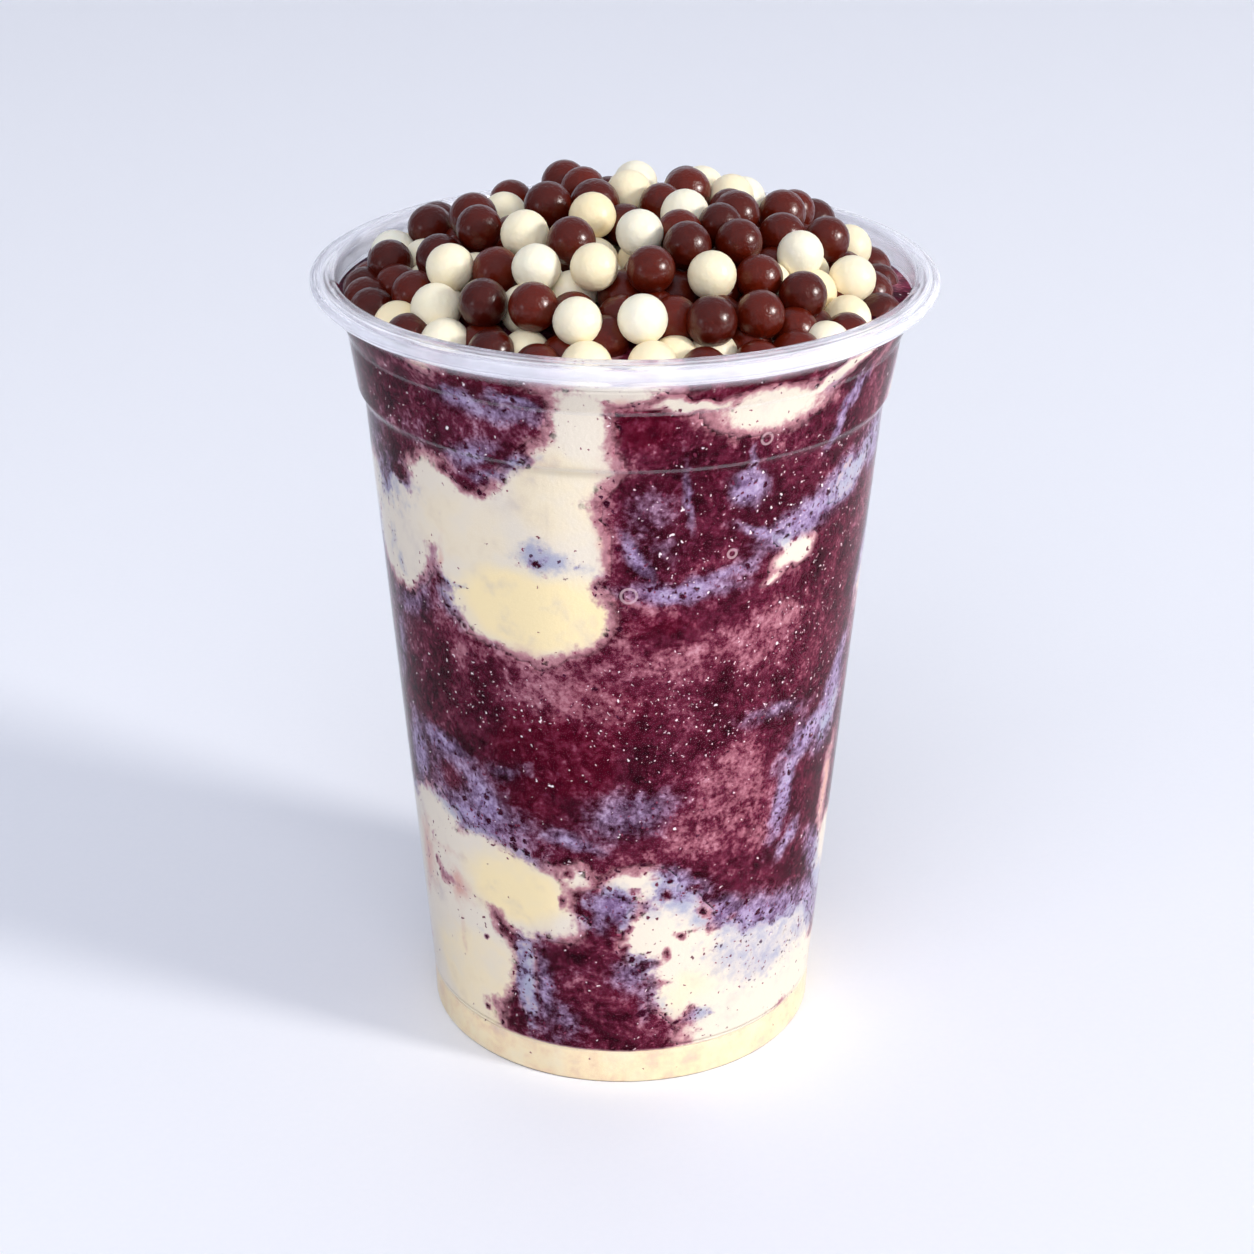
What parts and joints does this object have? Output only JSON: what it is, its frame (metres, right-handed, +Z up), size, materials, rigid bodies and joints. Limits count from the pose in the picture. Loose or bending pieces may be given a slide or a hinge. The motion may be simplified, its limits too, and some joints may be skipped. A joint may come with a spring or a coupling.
{
  "type": "acai cup",
  "caption": "Clear plastic cup filled with purple acai swirled with cream, under a heap of dark and white chocolate balls.",
  "frame": {"origin": "centre of the foot on the surface that the cup stands on", "axes": "+Z up, -Y towards the side that is shown, +X to the right of it"},
  "size_m": [0.098, 0.098, 0.1435],
  "materials": {
    "clear_plastic": "clear, glossy, slightly milky at the rim",
    "acai": "soft frozen, damp",
    "cream": "soft, satin",
    "chocolate_balls": "polished dark and ivory white chocolate"
  },
  "bodies": {
    "root": {"cup": "clear_plastic", "acai": "acai", "cream": "cream", "chocolate_ball_heap": "chocolate_balls"}
  },
  "joints": []
}
